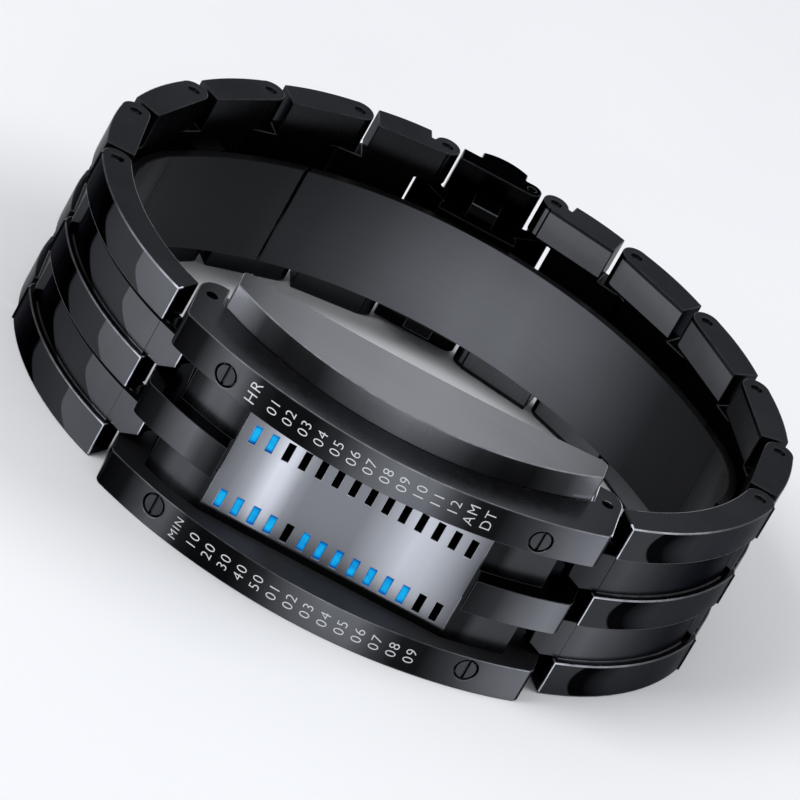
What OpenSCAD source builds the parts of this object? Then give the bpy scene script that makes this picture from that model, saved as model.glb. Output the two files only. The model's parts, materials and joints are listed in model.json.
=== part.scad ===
// Wrist watch with a row display of small lamps, on a steel link bracelet.
// It lies on its side: the wrist axis is Z, the display looks along -Y.

/* [Case] */
// Length of the two side rails of the case
case_len = 47.5; // [46.5:0.1:49]
// Radius of the curved front of the rails
rail_r = 45; // [42:0.5:52]
// Width of each rail across the wrist direction
rail_w = 4.0; // [3.6:0.05:4.6]
// Width of the low channel between a rail and the middle lug
channel_w = 4.95; // [4.6:0.05:5.6]
// Width of the raised middle lug
lug_w = 3.9; // [3.4:0.05:4.4]
// How far the low plates lie behind the rail fronts
plate_drop = 2.0; // [1.4:0.1:2.4]
// Gap between the middle block of the case and the bars of the first links
plate_gap = 0.4; // [0.2:0.05:0.6]
// Thickness of the case at its middle
case_depth = 13.9; // [13.7:0.05:14.6]
// Thickness of the rail ends, measured from the same front line
end_depth = 15.0; // [14.8:0.05:15.6]
// Radius of the hollow back, which follows the wrist
back_r = 210; // [150:5:400]
// Corner radius of the rail ends at the back
rail_end_r = 2.2; // [1:0.1:2.4]
// Corner radius of the rail ends at the front
rail_nose_r = 1.2; // [0.6:0.1:1.6]
// Place of the rail screws, as an angle along the curved front
screw_angle = 23; // [22:0.25:25]
// Radius of a rail screw head
screw_head_r = 1.08; // [0.9:0.02:1.1]

/* [Display] */
// Length of the display plate
display_len = 27.3; // [26.5:0.1:28]
// Width of the display plate
display_w = 11.86; // [11.6:0.02:12.4]
// Depth of the display face behind the rail fronts
display_y = 4.2; // [4:0.05:4.5]
// Thickness of the display plate
display_t = 0.8; // [0.6:0.05:0.9]
// Number of slots in each row
slot_count = 14; // [8:1:14]
// Distance from slot to slot
slot_pitch = 1.86; // [1.5:0.02:1.9]
// Width of a slot
slot_w = 0.8; // [0.5:0.05:1]
// Length of a slot
slot_l = 2.16; // [1.6:0.02:2.4]
// Height of the hour slots above the middle of the display
hour_rise = 3.7; // [3.4:0.05:4.4]
// Depth of the minute slots below the middle of the display
minute_drop = 4.55; // [3.6:0.05:4.6]

/* [Side key] */
// Distance from the ends of the side key to the ends of the case
key_edge = 3.25; // [2.8:0.05:5]
// Radius of the curved front of the side key
key_r = 33.1; // [31:0.1:38]
// Distance from the rail front to the side key
key_front = 4.6; // [4.2:0.1:6]
// Thickness of the side key
key_t = 3.0; // [2.4:0.1:4]
// Travel of the side key
key_travel = 0.6; // [0.3:0.05:0.8]
// Distance of each key stem from the middle of the case
stem_x = 13; // [12.6:0.1:13.4]
// Radius of a key stem
stem_r = 0.8; // [0.6:0.05:0.9]

/* [Bracelet] */
// Distance of the case pins from the ends of the case
pin_edge = 1.55; // [1.4:0.05:1.7]
// Depth of the case pins behind the rail fronts
pin_y = 12.3; // [12.1:0.05:12.6]
// Radius of the link pins
pin_r = 0.6; // [0.4:0.05:0.7]
// Distance between the two pins of the first link
first_len = 21.5; // [21:0.05:22]
// Distance between the pins of links 2 to 5
link_pitch = 10.7; // [10.4:0.05:11.2]
// Direction of the first link
heading_1 = 47.7; // [47:0.1:49]
// Direction of the second link
heading_2 = 88; // [87:0.25:90]
// Direction of the third link
heading_3 = 114; // [112:0.5:116]
// Turn from each later link to the next
bend = 18; // [17:0.25:18.5]
// Radius of the curved first link
first_r = 27.95; // [27.2:0.05:29]
// Direction in which the first link ends
first_end = 75.3; // [74.5:0.1:77]
// Thickness of the raised bars of a link
bar_t = 3.2; // [3:0.05:3.3]
// How far the bars bulge at their middle
crown = 0.35; // [0.1:0.05:0.6]
// Thickness of the low bars between the raised ones
tongue_t = 2.7; // [2.3:0.05:2.9]

/* [Clasp] */
// Thickness of the inner blades
blade_t = 1.0; // [0.7:0.05:1.1]
// Width of the inner blades
blade_w = 12; // [9:0.5:13]
// Half length of the two inner blades together, along their curve
blade_half = 48.5; // [44:0.25:52]
// Gap between the inner blades and the third links
blade_gap = 0.85; // [0.6:0.05:1.2]
// Place of the seam between the blades
seam_x = 18.3; // [17:0.1:20]
// Half length of the clasp cover
cover_half = 4.65; // [4:0.05:4.7]
// Thickness of the clasp cover
cover_t = 2.3; // [1.8:0.05:2.4]
// Height of the finger ridge on the cover
ridge_h = 1.9; // [1:0.1:2]
// Half length of the finger ridge
ridge_half = 2.6; // [1.6:0.1:2.6]
// Travel of each release button
button_travel = 0.7; // [0.3:0.05:0.8]

/* [Hidden] */
$fn = 48;
// Facets of the long arcs
arc_fn = 360;

// Clearances
play = 0.05;
fixed_fit = 0.01;
side_play = 0.1;
seat_gap = 0.02;

// Heights of the five rows of the case and the links
case_w = 2 * rail_w + 2 * channel_w + lug_w;
mid_z = case_w / 2;
lug_z = mid_z - lug_w / 2;
inner_low = rail_w;
inner_high = case_w - rail_w;
pin_inset = 0.4;
cover_inset = 0.3;
ridge_inset = 0.3;
ridge_r = 5.2;

// Case hollow, worked out from its walls
pin_x = case_len / 2 - pin_edge;
plate_half = pin_x - bar_t / 2 - plate_gap;
key_half = case_len / 2 - key_edge;
case_wall = 1.0;
end_wall = 2.0;
front_wall = 3.0;
hollow_half = plate_half - end_wall;
hollow_low = inner_low + case_wall;
hollow_high = inner_high - case_wall;
hollow_front = display_y + front_wall;
cover_plate_t = 1.2;
hollow_back = case_depth - cover_plate_t;
lip = 0.7;
lug_start = display_len / 2 + 0.3;

// Rail screws and the ears that they hold to
ear_depth = 3.0;
ear_t = 2.6;
ear_half = 1.7;
ear_w = 3.1;
thread_r = 0.6;
screw_head_t = 0.9;
screw_len = 5.2;

// Back cover, its seal and its screws
gasket_t = 0.3;
gasket_bar = 2.8;
boss_r = 1.25;
boss_inset = 1.2;
small_r = 0.5;
small_len = 3.4;
small_grip = 2.6;
small_head_r = 1.0;
small_head_t = 0.5;
small_head_sink = 0.6;
small_slot = 0.24;

// Slots of the rail screws
screw_slot = 0.28;
ring_gap = 0.2;
screw_slot_depth = 0.45;
screw_sink = 0.08;
neck_start = 0.5;

// Parts behind the display
guide_play = 0.04;
guide_recess = 0.15;
baffle_t = 1.4;
board_t = 0.8;
board_y = hollow_front;
board_side = 0.6;
board_edge = 0.25;
chip_t = 0.7;
chip_w = 0.8;
chip_l = 1.2;
control_w = 6;
control_t = 1.0;
crystal_x = 5.4;
crystal_r = 0.55;
crystal_l = 6;
switch_w = 3.6;
switch_h = 2.4;
switch_l = 3;
cell_r = 5;
cell_t = 2.5;
cell_x = 5.3;
cell_step = 0.5;
tray_rim = 0.4;
tray_gap = 0.3;
cell_y = board_y + board_t + 1.35;
contact_t = 0.25;
contact_w = 4;

// Slots of the two rows, counted from 0, and the ones that are lit
all_slots = [for (k = [0:slot_count - 1]) k];
lit_hours = [0, 1];
lit_minutes = [0, 1, 2, 3, 5, 6, 7, 8, 9, 10, 11];
dark_hours = [for (k = all_slots) if (len(search(k, lit_hours)) == 0) k];
dark_minutes = [for (k = all_slots) if (len(search(k, lit_minutes)) == 0) k];
function slot_x(k) = (k - (slot_count - 1) / 2) * slot_pitch;

// Side key, its stems and what they pass through
stem_y = 9.4;
key_sink = 0.2;
key_low = case_w - key_sink;
key_clear = 0.25;
key_floor = key_low - key_travel - 0.1;
clip_t = 0.4;
clip_r = 1.4;
clip_low = 0.2;
clip_mouth = 0.8;
groove = 0.25;
key_corner = 0.8;
stem_end = hollow_high - 0.8;
seal_bore_r = 1.35;
seal_t = 1.0;
spring_bore_r = 1.45;
spring_bore_depth = 1.3;
switch_gap = 0.1;

// Link rows and the fits between links
bar_gap = 0.55;
bar_start = bar_t / 2 + bar_gap;
tongue_gap = 0.4;
tongue_stop = bar_t / 2 + tongue_gap;
nose_chamfer = 1.0;
first_grow = 0.1;
first_bar_t = bar_t + first_grow;
first_start = -56.7;
first_nose = -64.4;
cut_way = [-0.491, 0.871];
cut_out = 1.68;
cut_depth = 10.4;
tip_set = 0.3;
tip_x = pin_x - tip_set;
tip_run = 1.75;
tip_rise = 1.25;
first_nose_top = 0.9;
first_lap = 0.25;
first_step = 0.05;
knuckle_r = 1.45;
knuckle_gap = 0.35;
cover_gap = 0.29;
neck_top = 0.4;

// The last link reaches to the knuckle beside the clasp cover
knuckle_x = cover_half + knuckle_r + cover_gap;
function heading(i) = i == 1 ? heading_1 : i == 2 ? heading_2 : heading_3 + bend * (i - 3);
function along(i) = [cos(heading(i)), sin(heading(i))];
function pitch(i) = i == 1 ? first_len
    : i == 6 ? (knuckle_x - pin_at(5)[0]) / cos(heading(6)) : link_pitch;
function pin_at(i) = i == 0 ? [pin_x, pin_y]
    : pin_at(i - 1) + pitch(i) * along(i);
first_centre = pin_at(1) - first_r * [sin(first_end), -cos(first_end)];
bar_cut = [case_len / 2 + cut_out, cut_depth];
knuckle = pin_at(6);

// Raised rows and low rows, as pairs of lowest and highest Z
raised_rows = [
    [0, inner_low + play],
    [lug_z, lug_z + lug_w],
    [inner_high - play, case_w]
];
low_rows = [[inner_low + play, lug_z], [lug_z + lug_w, inner_high - play]];

// Inner blades: an arc from the clasp to a gap inside the third links, then a tighter bend
blade_drop = 5.5;
blade_top = knuckle[1] - blade_drop;
blade_at = 5.8;
blade_side = pin_at(2) + blade_at * along(3)
    + (bar_t / 2 + blade_gap + blade_t / 2) * [-along(3)[1], along(3)[0]];
blade_rise = blade_top - blade_side[1];
blade_r = (blade_side[0] ^ 2 + blade_rise ^ 2) / (2 * blade_rise);
blade_centre = blade_top - blade_r;
side_gap = 0.3;
wrap_way = (blade_side - [0, blade_centre]) / blade_r;
wrap_turn = atan2(wrap_way[1], wrap_way[0]);
wrap_limit = (pin_at(1)[0] + pin_at(2)[0]) / 2 - bar_t / 2 / sin(heading(2)) - side_gap;
wrap_r = (wrap_limit - blade_t / 2 - blade_side[0]) / (1 - wrap_way[0]);
wrap_centre = (blade_r - wrap_r) * wrap_way + [0, blade_centre];
arc_share = blade_r * (90 - wrap_turn) * PI / 180;
wrap_end = wrap_turn - (blade_half - arc_share) / wrap_r * 180 / PI;
wrap_step = 0.02;
wrap_lap = 2;
seam_gap = 0.3;
seam_lean = 13.1;
seam_drop = 4.5;
seam_y = blade_top - seam_drop;
bracket_sink = 0.2;
bracket_at = 3.3;
bracket_len = 4.0;
bracket_w = 8;
bracket_end = pin_at(3) + (bracket_at + bracket_len) * along(4)
    + bar_t / 2 * [-along(4)[1], along(4)[0]];
bracket_h = norm(bracket_end - [0, blade_centre]) - blade_r + blade_t;

// Clasp block, cover and buttons
block_step = 0.2;
block_half = cover_half - block_step;
block_low = blade_top + blade_t / 2;
cover_drop = 0.4;
cover_low = knuckle[1] - cover_drop;
block_high = cover_low - block_step;
ear_rise = 1.6;
ear_sink = 0.3;
ear_out = 0.4;
ear_back = 0.5;
hinge_r = cover_t / 2;
hinge_x = cover_half - hinge_r;
hinge_y = cover_low + hinge_r;
hinge_lug_r = 0.85;
hinge_pin_r = 0.4;
hinge_lug_w = 3.0;
hinge_lug_z = 4.4;
button_half = 1.85;
button_floor = 1.0;
button_y = block_low + button_floor;
button_h = 2.4;
button_stand = 1.7;
flange_t = 0.8;
mouth_t = 0.6;
mouth_half = 1.65;
button_bore_r = 0.9;
mid_wall = 1.2;
half_block = mid_z - inner_low - 0.2;
spring_r = 0.8;
spring_inner_r = 0.5;

// Everything is drawn from the rail front and then centred on the origin
whole_depth = cover_low + cover_t + ridge_h;
module centred() translate([0, -whole_depth / 2, 0]) children();
module layer(z0, z1) translate([0, 0, z0]) linear_extrude(z1 - z0) children();
module both_sides() for (s = [0, 1]) mirror([s, 0, 0]) children();
module left_side() mirror([1, 0, 0]) children();
module along_y(x, y, z) translate([x, y, z]) rotate([-90, 0, 0]) children();

// The front corner of a rail is an arc that runs into its front and its end
nose_step = 0.02;
nose_reach = rail_r - rail_nose_r + nose_step;
nose_x = case_len / 2 - rail_nose_r + nose_step;
nose_back = sqrt(nose_reach ^ 2 - nose_x ^ 2);
nose_centre = [nose_x, rail_r - nose_back];
nose_way = [nose_x, -nose_back] / nose_reach;

// Curved outline of a rail, seen along the wrist axis
module rail_outline() difference() {
    intersection() {
        translate([0, rail_r]) circle(rail_r, $fn = arc_fn);
        translate([-case_len / 2, -1]) square([case_len, end_depth + 1]);
    }
    translate([0, case_depth + back_r]) circle(back_r, $fn = arc_fn);
    both_sides() {
        translate([case_len / 2 - rail_end_r, end_depth - rail_end_r]) difference() {
            square(rail_end_r + 1);
            circle(rail_end_r);
        }
        translate(nose_centre) difference() {
            polygon([[0, 0], 4 * nose_way, [5, 4 * nose_way[1]], [5, 0]]);
            circle(rail_nose_r);
        }
    }
}

// Outline of the low middle block, flat at the back
module plate_outline() intersection() {
    translate([0, rail_r]) circle(rail_r - plate_drop, $fn = arc_fn);
    translate([-plate_half, -1]) square([2 * plate_half, case_depth + 1]);
}

// Outline of the side key, grown by a clearance for its pocket
module key_outline(grow) intersection() {
    translate([0, key_front + key_r]) circle(key_r + grow, $fn = arc_fn);
    translate([-key_half - grow, 0]) square([2 * (key_half + grow), end_depth + 1]);
}

// Frame of a rail screw: Y runs inwards from the curved front
module at_screw(z) translate([0, rail_r, z]) rotate(screw_angle) translate([0, -rail_r, 0])
    children();
module screw_ear(grow, z0, z1) at_screw(z0)
    translate([-ear_half - grow, ear_depth - grow, 0])
        cube([2 * (ear_half + grow), ear_t + 2 * grow, z1 - z0]);

// Case: middle block with the raised lugs, the ears and the hollow for the works
module case_body() color("#1b1d1f") centred() difference() {
    union() {
        layer(inner_low, inner_high) plate_outline();
        layer(lug_z, lug_z + lug_w) rail_outline();
        both_sides() {
            screw_ear(0, inner_high - case_wall, inner_high + ear_w);
            screw_ear(0, inner_low - ear_w, inner_low + case_wall);
        }
    }
    translate([-display_len / 2, -1, 0]) cube([display_len, display_y + 1, case_w]);
    translate([-lug_start, -1, lug_z]) cube([2 * lug_start, display_y + 1, lug_w]);
    translate([-display_len / 2, 0, mid_z - display_w / 2])
        cube([display_len, display_y + display_t + play, display_w]);
    translate([-display_len / 2 + lip, display_y, hollow_low])
        cube([display_len - 2 * lip, front_wall + 1, hollow_high - hollow_low]);
    difference() {
        translate([-hollow_half, hollow_front, hollow_low])
            cube([2 * hollow_half, hollow_back - hollow_front + 1, hollow_high - hollow_low]);
        back_screw_places(board_y + board_t + play) cylinder(r = boss_r,
            h = hollow_back - board_y - board_t - play - gasket_t);
    }
    translate([-hollow_half - lip, hollow_back - gasket_t, inner_low + lip])
        cube([2 * (hollow_half + lip), 3, inner_high - inner_low - 2 * lip]);
    back_screw_places(hollow_back - small_grip - 0.4) cylinder(r = small_r + fixed_fit, h = 4);
    both_sides() {
        translate([stem_x, stem_y, hollow_high - 1]) cylinder(r = stem_r + play, h = 3);
        for (z = [inner_low - ear_w / 2, inner_high + ear_w / 2]) at_screw(z)
            along_y(0, ear_depth - 1, 0) cylinder(r = thread_r + fixed_fit, h = ear_t + 2);
        translate([pin_x, pin_y, lug_z - 1]) cylinder(r = pin_r + fixed_fit, h = lug_w + 2);
    }
}
module back_screw_places(y) both_sides() 
    for (z = [hollow_low + boss_inset, hollow_high - boss_inset])
        along_y(hollow_half - boss_inset, y, z) children();

// Body of a rail between two heights, with its screw holes, ear pockets and pin holes
module rail(z0, z1, screw_z, ear_z0, ear_z1) difference() {
    layer(z0, z1) rail_outline();
    both_sides() {
        screw_ear(play, ear_z0, ear_z1);
        at_screw(screw_z) {
            along_y(0, -1, 0) cylinder(r = screw_head_r + ring_gap, h = 1 + screw_head_t);
            along_y(0, 0, 0) cylinder(r = thread_r + play, h = screw_len + 0.1);
        }
        translate([pin_x, pin_y, z0 - 1]) cylinder(r = pin_r + fixed_fit, h = rail_w + 2);
    }
}
module hour_rail() color("#1b1d1f") centred() difference() {
    rail(inner_high, case_w, inner_high + ear_w / 2, inner_high - 1, inner_high + ear_w + play);
    layer(key_floor, case_w + 1) key_outline(key_clear);
    both_sides() translate([stem_x, stem_y, 0]) {
        cylinder(r = stem_r + play, h = case_w + 1);
        translate([0, 0, inner_high - 1]) cylinder(r = seal_bore_r + play, h = 1 + seal_t);
        translate([0, 0, key_floor - spring_bore_depth]) cylinder(r = spring_bore_r, h = 5);
    }
}
module minute_rail() color("#1b1d1f") centred()
    rail(0, inner_low, inner_low - ear_w / 2, inner_low - ear_w - play, inner_low + 1);

// Screws that hold the rails to the ears of the middle block
module rail_screws() color("#26282b") centred() both_sides()
    for (z = [inner_low - ear_w / 2, inner_high + ear_w / 2]) at_screw(z) difference() {
        union() {
            along_y(0, screw_sink, 0) cylinder(r = screw_head_r, h = screw_head_t - screw_sink);
            along_y(0, neck_start, 0) cylinder(r = thread_r, h = screw_len - neck_start);
        }
        translate([-screw_slot / 2, -1, -2]) cube([screw_slot, 1 + screw_slot_depth, 4]);
    }

// Places of the slots: hour row above, minute row below
module slot_places(hours, minutes) {
    for (k = hours) translate([slot_x(k), 0, mid_z + hour_rise]) children();
    for (k = minutes) translate([slot_x(k), 0, mid_z - minute_drop]) children();
}
module slot_block(y0, y1, grow) translate([-slot_w / 2 - grow, y0, -slot_l / 2 - grow])
    cube([slot_w + 2 * grow, y1 - y0, slot_l + 2 * grow]);

module display_plate() color("#b9bcc2") centred() difference() {
    translate([-display_len / 2 + play, display_y, mid_z - display_w / 2 + play])
        cube([display_len - 2 * play, display_t, display_w - 2 * play]);
    slot_places(all_slots, all_slots) slot_block(0, 10, 0);
}
module light_baffle() color("#101214") centred() difference() {
    translate([-display_len / 2 + lip + play, display_y + display_t + seat_gap,
        hollow_low + play])
        cube([display_len - 2 * lip - 2 * play, baffle_t,
            hollow_high - hollow_low - 2 * play]);
    slot_places(all_slots, all_slots) slot_block(0, 10, 0);
}
module light_guide() slot_block(display_y + guide_recess,
    display_y + display_t + baffle_t, -guide_play);
module lit_guides() color("#1e9bff") centred() slot_places(lit_hours, lit_minutes)
    light_guide();
module dark_guides() color("#0b0c0e") centred() slot_places(dark_hours, dark_minutes)
    light_guide();
module led_chips() color("#d8d4c4") centred() slot_places(all_slots, all_slots)
    translate([-chip_w / 2, board_y - chip_t, -chip_l / 2]) cube([chip_w, chip_t, chip_l]);

// Circuit board and what is soldered to it
module circuit_board() color("#123524") centred()
    translate([-hollow_half + board_side, board_y + seat_gap, hollow_low + board_edge])
        cube([2 * (hollow_half - board_side), board_t - seat_gap,
            hollow_high - hollow_low - 2 * board_edge]);
module control_chip() color("#15171a") centred()
    translate([-control_w / 2, board_y + board_t, mid_z - control_w / 2])
        cube([control_w, control_t, control_w]);
module timing_crystal() color("#c3c6ca") centred()
    translate([crystal_x, board_y + board_t + crystal_r, mid_z - crystal_l / 2])
        cylinder(r = crystal_r, h = crystal_l);
module key_switches() color("#2a2c30") centred() both_sides()
    translate([stem_x - switch_w / 2, board_y + board_t,
        stem_end - key_travel - switch_gap - switch_l])
        cube([switch_w, switch_h, switch_l]);

// Battery tray with two coin cells and their contact plate
module battery_tray() color("#1d2023") centred() difference() {
    translate([-cell_x - cell_r - tray_rim, cell_y - play, hollow_low + tray_gap])
        cube([2 * (cell_x + cell_r + tray_rim), cell_t,
            hollow_high - hollow_low - 2 * tray_gap]);
    for (s = [-1, 1]) along_y(s * cell_x, cell_y - 1, mid_z)
        cylinder(r = cell_r + side_play, h = cell_t + 2);
}
module coin_cells() color("#c9ccd0") centred() for (s = [-1, 1]) {
    along_y(s * cell_x, cell_y, mid_z) cylinder(r = cell_r - cell_step, h = cell_t);
    along_y(s * cell_x, cell_y + cell_step, mid_z) cylinder(r = cell_r, h = cell_t - cell_step);
}
module battery_contact() color("#c8a85a") centred()
    translate([-cell_x - cell_r, cell_y + cell_t + seat_gap, mid_z - contact_w / 2])
        cube([2 * (cell_x + cell_r), contact_t, contact_w]);

// Back cover with its seal and screws
module back_cover() color("#34373b") centred() difference() {
    translate([-hollow_half - lip + play, hollow_back, inner_low + lip + play])
        cube([2 * (hollow_half + lip - play), cover_plate_t,
            inner_high - inner_low - 2 * lip - 2 * play]);
    back_screw_places(hollow_back - 1) {
        cylinder(r = small_r + play, h = 3);
        translate([0, 0, 1 + cover_plate_t - small_head_sink])
            cylinder(r = small_head_r + play, h = 3);
    }
}
module back_gasket() color("#0f1011") centred() difference() {
    translate([-hollow_half - lip + 0.1, hollow_back - gasket_t + seat_gap,
        inner_low + lip + 0.1])
        cube([2 * (hollow_half + lip - 0.1), gasket_t - 2 * seat_gap,
            inner_high - inner_low - 2 * lip - 0.2]);
    translate([-hollow_half + gasket_bar, 0, hollow_low])
        cube([2 * (hollow_half - gasket_bar), 20, hollow_high - hollow_low]);
    back_screw_places(0) cylinder(r = small_r + side_play, h = 20);
}
module back_screws() color("#5a5d61") centred() back_screw_places(hollow_back - small_grip)
    difference() {
        head = small_grip + cover_plate_t - small_head_sink + seat_gap;
        union() {
            cylinder(r = small_r, h = small_len);
            translate([0, 0, head]) cylinder(r = small_head_r, h = small_head_t);
        }
        translate([-2, -small_slot / 2, head + small_head_t / 2]) cube([4, small_slot, 1]);
    }

// Side key: a long curved slab on two stems
module side_key() color("#6d7078") centred() {
    layer(key_low, key_low + key_t) difference() {
        key_outline(0);
        translate([0, case_depth + back_r]) circle(back_r, $fn = arc_fn);
        both_sides() translate([key_half - key_corner, end_depth - 0.2 - key_corner])
            difference() {
                square(2);
                circle(key_corner);
            }
    }
    both_sides() translate([stem_x, stem_y, stem_end]) difference() {
        cylinder(r = stem_r, h = key_low - stem_end + 1);
        translate([0, 0, clip_low]) difference() {
            cylinder(r = stem_r + 1, h = clip_t);
            translate([0, 0, -1]) cylinder(r = stem_r - groove, h = 3);
        }
    }
}
module key_clips() color("#9da0a4") centred() both_sides()
    translate([stem_x, stem_y, stem_end + clip_low + seat_gap]) difference() {
        cylinder(r = clip_r, h = clip_t - 2 * seat_gap);
        translate([0, 0, -1]) cylinder(r = stem_r - groove + fixed_fit, h = 3);
        translate([-clip_mouth / 2, -3, -1]) cube([clip_mouth, 3, 3]);
    }
module key_seals() color("#0f1011") centred() both_sides()
    translate([stem_x, stem_y, inner_high + seal_t / 2])
        rotate_extrude() translate([(stem_r + play + seal_bore_r) / 2, 0])
            circle((seal_bore_r - stem_r - play) / 2, $fn = 24);
module key_springs() color("#9da0a4") centred() both_sides()
    translate([stem_x, stem_y, key_floor - spring_bore_depth + seat_gap]) difference() {
        cylinder(r = spring_bore_r - side_play, h = key_low - key_floor + spring_bore_depth
            - 2 * seat_gap);
        translate([0, 0, -1]) cylinder(r = stem_r + side_play, h = 5);
    }

// Pins, all along the wrist axis
module pin(p, r, z0, z1) translate([p[0], p[1], z0]) cylinder(r = r, h = z1 - z0);
module case_pin() color("#3a3d40") centred() left_side()
    pin(pin_at(0), pin_r, pin_inset, case_w - pin_inset);
module link_pin(i) color("#3a3d40")
    pin(pin_at(i), pin_r, pin_inset, case_w - pin_inset);
module spring_bars() color("#8b8e92") centred() for (row = low_rows)
    pin(pin_at(0), pin_r, row[0] + 2 * side_play, row[1] - 2 * side_play);

// Frame of a link: X from its first pin to its second, Y outwards
module at_link(i) translate(concat(pin_at(i - 1), 0)) rotate(heading(i)) mirror([0, 1, 0])
    children();
module bar_profile(p) {
    run = p - bar_start;
    arc = run * run / (8 * crown) + crown / 2;
    intersection() {
        translate([bar_start, -bar_t / 2]) square([run, bar_t + crown]);
        translate([(bar_start + p) / 2, bar_t / 2 + crown - arc]) circle(arc, $fn = arc_fn);
    }
    translate([p, 0]) circle(bar_t / 2);
}
module end_bar_profile(p) {
    difference() {
        bar_profile(p);
        translate([p - knuckle_r - knuckle_gap, -bar_t]) square([5, 3 * bar_t]);
    }
    translate([p - knuckle_r - knuckle_gap - 1, -bar_t / 2])
        square([knuckle_r + knuckle_gap + 1, bar_t / 2 + neck_top]);
    translate([p, 0]) circle(knuckle_r);
}
module tongue_profile(p) {
    translate([0, -bar_t / 2]) square([p - tongue_stop, tongue_t]);
    intersection() {
        circle(bar_t / 2);
        translate([-5, -5]) square([10, 5 + tongue_t - bar_t / 2]);
    }
}
// A low row narrows to a chamfered nose that turns between the bars of its neighbour
module nose_plan(row, free, reach, chamfer) rotate([90, 0, 0]) translate([0, 0, -10])
    linear_extrude(20) polygon([
        [-reach, row[0] + side_play + chamfer], [-reach + chamfer, row[0] + side_play],
        [free, row[0] + side_play], [free, row[0]], [30, row[0]], [30, row[1]],
        [free, row[1]], [free, row[1] - side_play], [-reach + chamfer, row[1] - side_play],
        [-reach, row[1] - side_play - chamfer]
    ]);
module plain_link(i) at_link(i) difference() {
    p = pitch(i);
    union() {
        for (row = raised_rows) layer(row[0], row[1])
            if (i == 6) end_bar_profile(p); else bar_profile(p);
        for (row = low_rows) intersection() {
            layer(row[0], row[1]) tongue_profile(p);
            nose_plan(row, bar_start, bar_t / 2, nose_chamfer);
        }
    }
    cylinder(r = pin_r + play, h = case_w);
    translate([p, 0, 0]) cylinder(r = pin_r + fixed_fit, h = case_w);
}

// First link: curved bars about their own centre, with longer noses at the case
module sector(centre, r0, r1, a0, a1) translate(centre) intersection() {
    difference() {
        circle(r1, $fn = arc_fn);
        circle(r0, $fn = arc_fn);
    }
    polygon([[0, 0], 2 * r1 * [cos(a0), sin(a0)],
        2 * r1 * [cos((a0 + a1) / 2), sin((a0 + a1) / 2)], 2 * r1 * [cos(a1), sin(a1)]]);
}
module first_bar(z0, z1, half, last) layer(z0, z1) {
    difference() {
        sector(first_centre, first_r - half, first_r + half, first_nose, last + first_lap);
        polygon([bar_cut - 3 * cut_way, bar_cut + 6 * cut_way, [0, bar_cut[1] + 6 * cut_way[1]],
            [0, bar_cut[1] - 3 * cut_way[1]]]);
    }
    translate(pin_at(1)) circle(half);
}
module first_nose_block(row, half) intersection() {
    layer(row[0], row[1]) {
        sector(first_centre, first_r - half + 2 * first_step,
            first_r + first_nose_top - first_step, first_nose, first_start + 1);
        translate(pin_at(0)) circle(bar_t / 2);
    }
    low = row[0] + side_play;
    high = row[1] - side_play;
    rotate([90, 0, 0]) translate([0, 0, -40]) linear_extrude(40) polygon([
        [pin_x - 3, low + tip_rise], [tip_x, low + tip_rise], [tip_x + tip_run, low],
        [pin_x + 9, low], [pin_x + 9, high], [tip_x + tip_run, high], [tip_x, high - tip_rise],
        [pin_x - 3, high - tip_rise]
    ]);
}
module first_link() difference() {
    half = first_bar_t / 2;
    last = first_end - 90;
    stop = last - tongue_stop / first_r * 180 / PI;
    union() {
        for (row = raised_rows) first_bar(row[0], row[1], half, last);
        for (row = low_rows) {
            layer(row[0], row[1]) sector(first_centre, first_r - half + first_step,
                first_r + first_nose_top, first_start + first_lap, stop);
            first_nose_block(row, half);
        }
    }
    pin(pin_at(0), pin_r + play, 0, case_w);
    pin(pin_at(1), pin_r + fixed_fit, 0, case_w);
}
module band_link(i) color("#2c2f33") if (i == 1) first_link(); else plain_link(i);

// Inner blades: a long one fixed to the clasp block and a short one fixed to a link
module blade_arc() layer(mid_z - blade_w / 2, mid_z + blade_w / 2) {
    sector([0, blade_centre], blade_r - blade_t / 2, blade_r + blade_t / 2, wrap_turn,
        180 - wrap_turn);
    both_sides() sector(wrap_centre, wrap_r - blade_t / 2 + wrap_step,
        wrap_r + blade_t / 2 - wrap_step, wrap_end, wrap_turn + wrap_lap);
}
module right_of_seam(shift) translate([-seam_x + shift, seam_y, -1]) rotate(-seam_lean)
    linear_extrude(case_w + 2) translate([0, -blade_half])
        square([2 * blade_half, 2 * blade_half]);
module long_blade() color("#3b3e42") centred() intersection() {
    blade_arc();
    right_of_seam(seam_gap / 2);
}
module short_blade() color("#3b3e42") centred() {
    difference() {
        blade_arc();
        right_of_seam(-seam_gap / 2);
    }
    left_side() at_link(4) translate([bracket_at, 0, mid_z - bracket_w / 2]) difference() {
        translate([0, -bar_t / 2 - seat_gap - bracket_h, 0])
            cube([bracket_len, bracket_h, bracket_w]);
        mirror([0, 1, 0]) rotate(-heading(4)) translate(concat(-pin_at(3), 0))
            translate(-bracket_at * [along(4)[0], along(4)[1], 0])
                translate([0, blade_centre, -1])
                    cylinder(r = blade_r - blade_t / 2 + bracket_sink, h = case_w, $fn = arc_fn);
    }
}

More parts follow.
